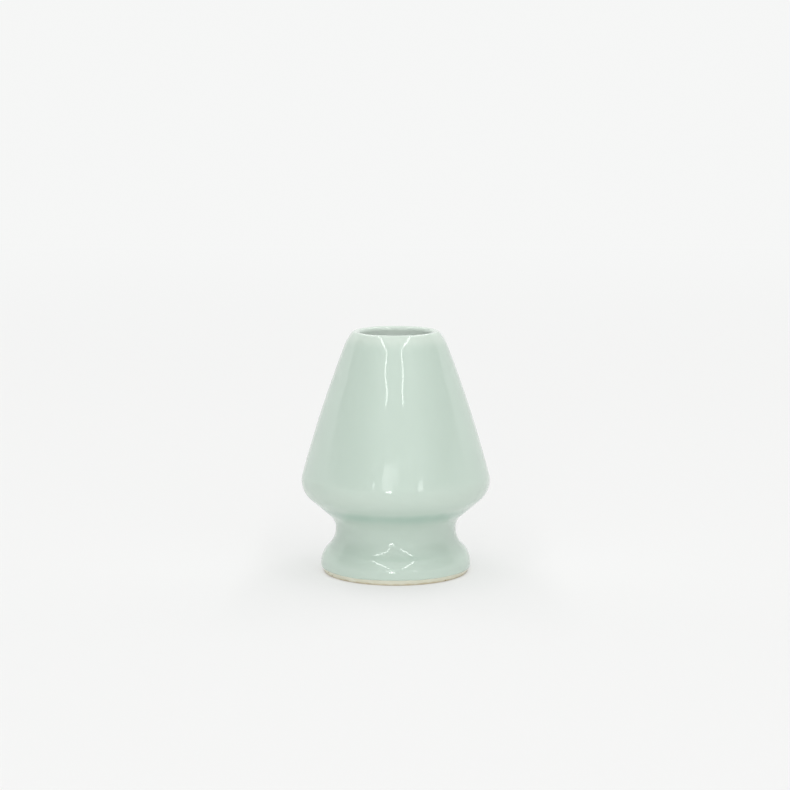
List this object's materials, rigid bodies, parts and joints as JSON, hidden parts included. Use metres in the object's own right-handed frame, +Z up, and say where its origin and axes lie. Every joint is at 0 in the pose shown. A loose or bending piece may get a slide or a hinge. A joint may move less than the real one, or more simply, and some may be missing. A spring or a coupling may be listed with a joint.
{
  "type": "matcha whisk stand",
  "caption": "Hollow glazed ceramic stand for a bamboo tea whisk: a bell-shaped cone with a rounded mouth on top, drawn in to a neck above a flared ring foot.",
  "frame": {"origin": "centre of the ring that the foot rests on, on the ground plane", "axes": "+Z up along the axis of the form, from the foot to the mouth; the form is round, so +X and +Y are free"},
  "size_m": [0.06, 0.06, 0.0771],
  "materials": {
    "celadon_glaze": "gloss",
    "lining_glaze": "gloss",
    "bare_stoneware": "matt, unglazed"
  },
  "bodies": {
    "root": {"clay_body": "bare_stoneware", "outer_glaze": "celadon_glaze", "lining_glaze": "lining_glaze"}
  },
  "joints": []
}
